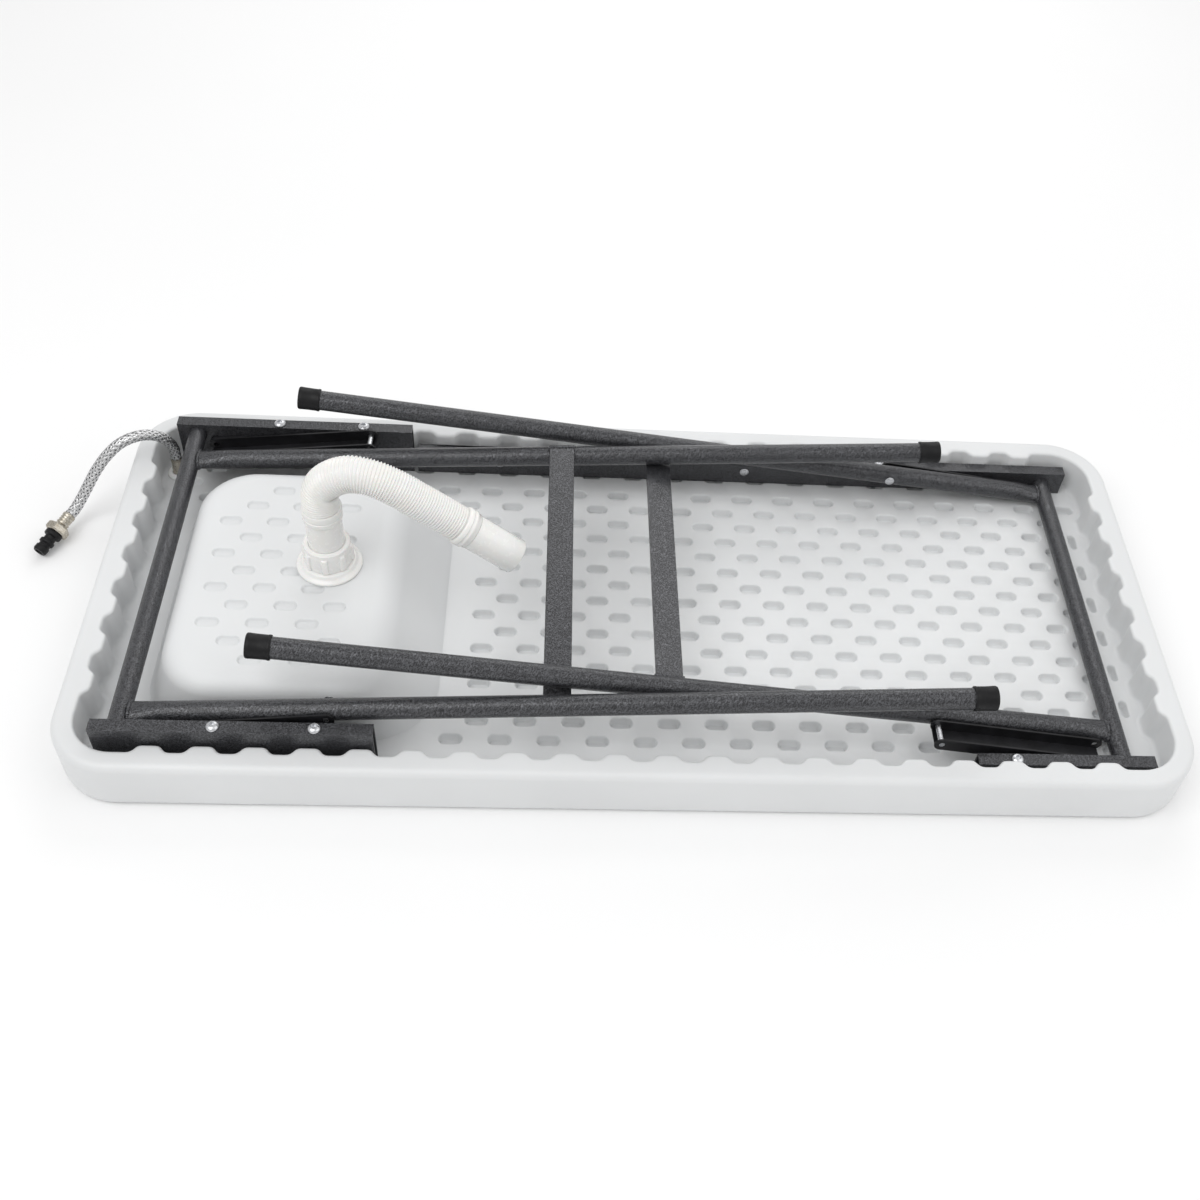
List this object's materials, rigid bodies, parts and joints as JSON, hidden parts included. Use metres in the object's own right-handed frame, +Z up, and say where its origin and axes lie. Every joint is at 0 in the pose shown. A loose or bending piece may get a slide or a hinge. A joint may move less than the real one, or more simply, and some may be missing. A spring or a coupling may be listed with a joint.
{
  "type": "folding_sink_table",
  "caption": "White blow-moulded folding sink table, lying on its top with both dark steel leg frames folded, drain hose and water inlet",
  "frame": {"origin": "centre of the table top on the floor plane, under the work surface's middle", "axes": "+X along the long side, from the sink end to the plain end; +Y across, to the hose inlet side; +Z up, the work surface lies on z=0"},
  "size_m": [1.2467, 0.51, 0.2333],
  "materials": {
    "plastic_white": "blow-moulded, satin",
    "hammered_steel": "hammertone powder coat",
    "black_plastic": "satin",
    "black_steel": "smooth powder coat",
    "zinc": "zinc plated",
    "plastic_gloss": "gloss",
    "steel_polished": "polished",
    "nickel": "nickel plated brass",
    "braided_steel": "woven stainless wire"
  },
  "bodies": {
    "table": {"table_top": "plastic_white", "hinge_channel_front_left": "hammered_steel", "hinge_channel_back_left": "hammered_steel", "hinge_channel_front_right": "hammered_steel", "side_rail_back": "hammered_steel", "hinge_channel_front_left_bolt_1": "zinc", "hinge_channel_front_left_bolt_2": "zinc", "hinge_channel_back_left_bolt_1": "zinc", "hinge_channel_back_left_bolt_2": "zinc", "hinge_channel_front_right_bolt_1": "zinc", "side_rail_back_bolt_1": "zinc", "side_rail_back_bolt_2": "zinc", "side_rail_back_rivet_1": "zinc", "side_rail_back_rivet_2": "zinc", "left_rail_rivet_front": "zinc", "left_rail_rivet_back": "zinc", "right_rail_rivet_front": "zinc", "right_rail_rivet_back": "zinc", "drain_strainer": "steel_polished", "drain_flange": "plastic_gloss", "drain_nut": "plastic_gloss", "drain_pipe": "plastic_gloss", "drain_hose": "plastic_gloss", "drain_collar": "plastic_gloss", "drain_cuff": "plastic_gloss", "inlet_grommet": "plastic_gloss", "inlet_ferrule": "nickel", "supply_hose": "braided_steel", "supply_ferrule": "nickel", "supply_nut": "nickel", "quick_connector": "black_plastic"},
    "left_frame": {"left_axle_tube": "hammered_steel", "left_strap": "hammered_steel", "left_leg_front": "hammered_steel", "left_foot_cap_front": "black_plastic", "left_leg_rivet_front": "zinc", "left_leg_back": "hammered_steel", "left_foot_cap_back": "black_plastic", "left_leg_rivet_back": "zinc"},
    "left_leg_links": {"left_leg_link_front": "black_steel", "left_leg_link_back": "black_steel"},
    "left_rail_links": {"left_rail_link_front": "black_steel", "left_rail_link_back": "black_steel"},
    "right_frame": {"right_axle_tube": "hammered_steel", "right_strap": "hammered_steel", "right_leg_front": "hammered_steel", "right_foot_cap_front": "black_plastic", "right_leg_rivet_front": "zinc", "right_leg_back": "hammered_steel", "right_foot_cap_back": "black_plastic", "right_leg_rivet_back": "zinc"},
    "right_leg_links": {"right_leg_link_front": "black_steel", "right_leg_link_back": "black_steel"},
    "right_rail_links": {"right_rail_link_front": "black_steel", "right_rail_link_back": "black_steel"}
  },
  "joints": [
    {"name": "left_leg_fold", "type": "hinge", "parent": "table", "child": "left_frame", "pos_m": [-0.508, 0, 0.066], "axis": [0, -1, 0], "range_deg": [0, 86.42]},
    {"name": "left_leg_link_fold", "type": "hinge", "parent": "left_frame", "child": "left_leg_links", "pos_m": [-0.30839, 0, 0.07848], "axis": [0, -1, 0], "range_deg": [0, 10.61]},
    {"name": "left_rail_link_fold", "type": "hinge", "parent": "table", "child": "left_rail_links", "pos_m": [-0.456, 0, 0.06], "axis": [0, 1, 0], "range_deg": [0, 82.97]},
    {"name": "right_leg_fold", "type": "hinge", "parent": "table", "child": "right_frame", "pos_m": [0.505, 0, 0.032], "axis": [0, 1, 0], "range_deg": [0, 82.88]},
    {"name": "right_leg_link_fold", "type": "hinge", "parent": "right_frame", "child": "right_leg_links", "pos_m": [0.30654, 0, 0.05681], "axis": [0, 1, 0], "range_deg": [0, 12.99]},
    {"name": "right_rail_link_fold", "type": "hinge", "parent": "table", "child": "right_rail_links", "pos_m": [0.453, 0, 0.034], "axis": [0, -1, 0], "range_deg": [0, 84.14]}
  ],
  "couplings": [
    {"joint": "right_leg_fold", "follows": "left_leg_fold", "ratio": 0.95893},
    {"joint": "left_leg_link_fold", "follows": "left_leg_fold", "ratio": 0.12275},
    {"joint": "left_rail_link_fold", "follows": "left_leg_fold", "ratio": 0.95999},
    {"joint": "right_leg_link_fold", "follows": "left_leg_fold", "ratio": 0.15029},
    {"joint": "right_rail_link_fold", "follows": "left_leg_fold", "ratio": 0.97352}
  ]
}
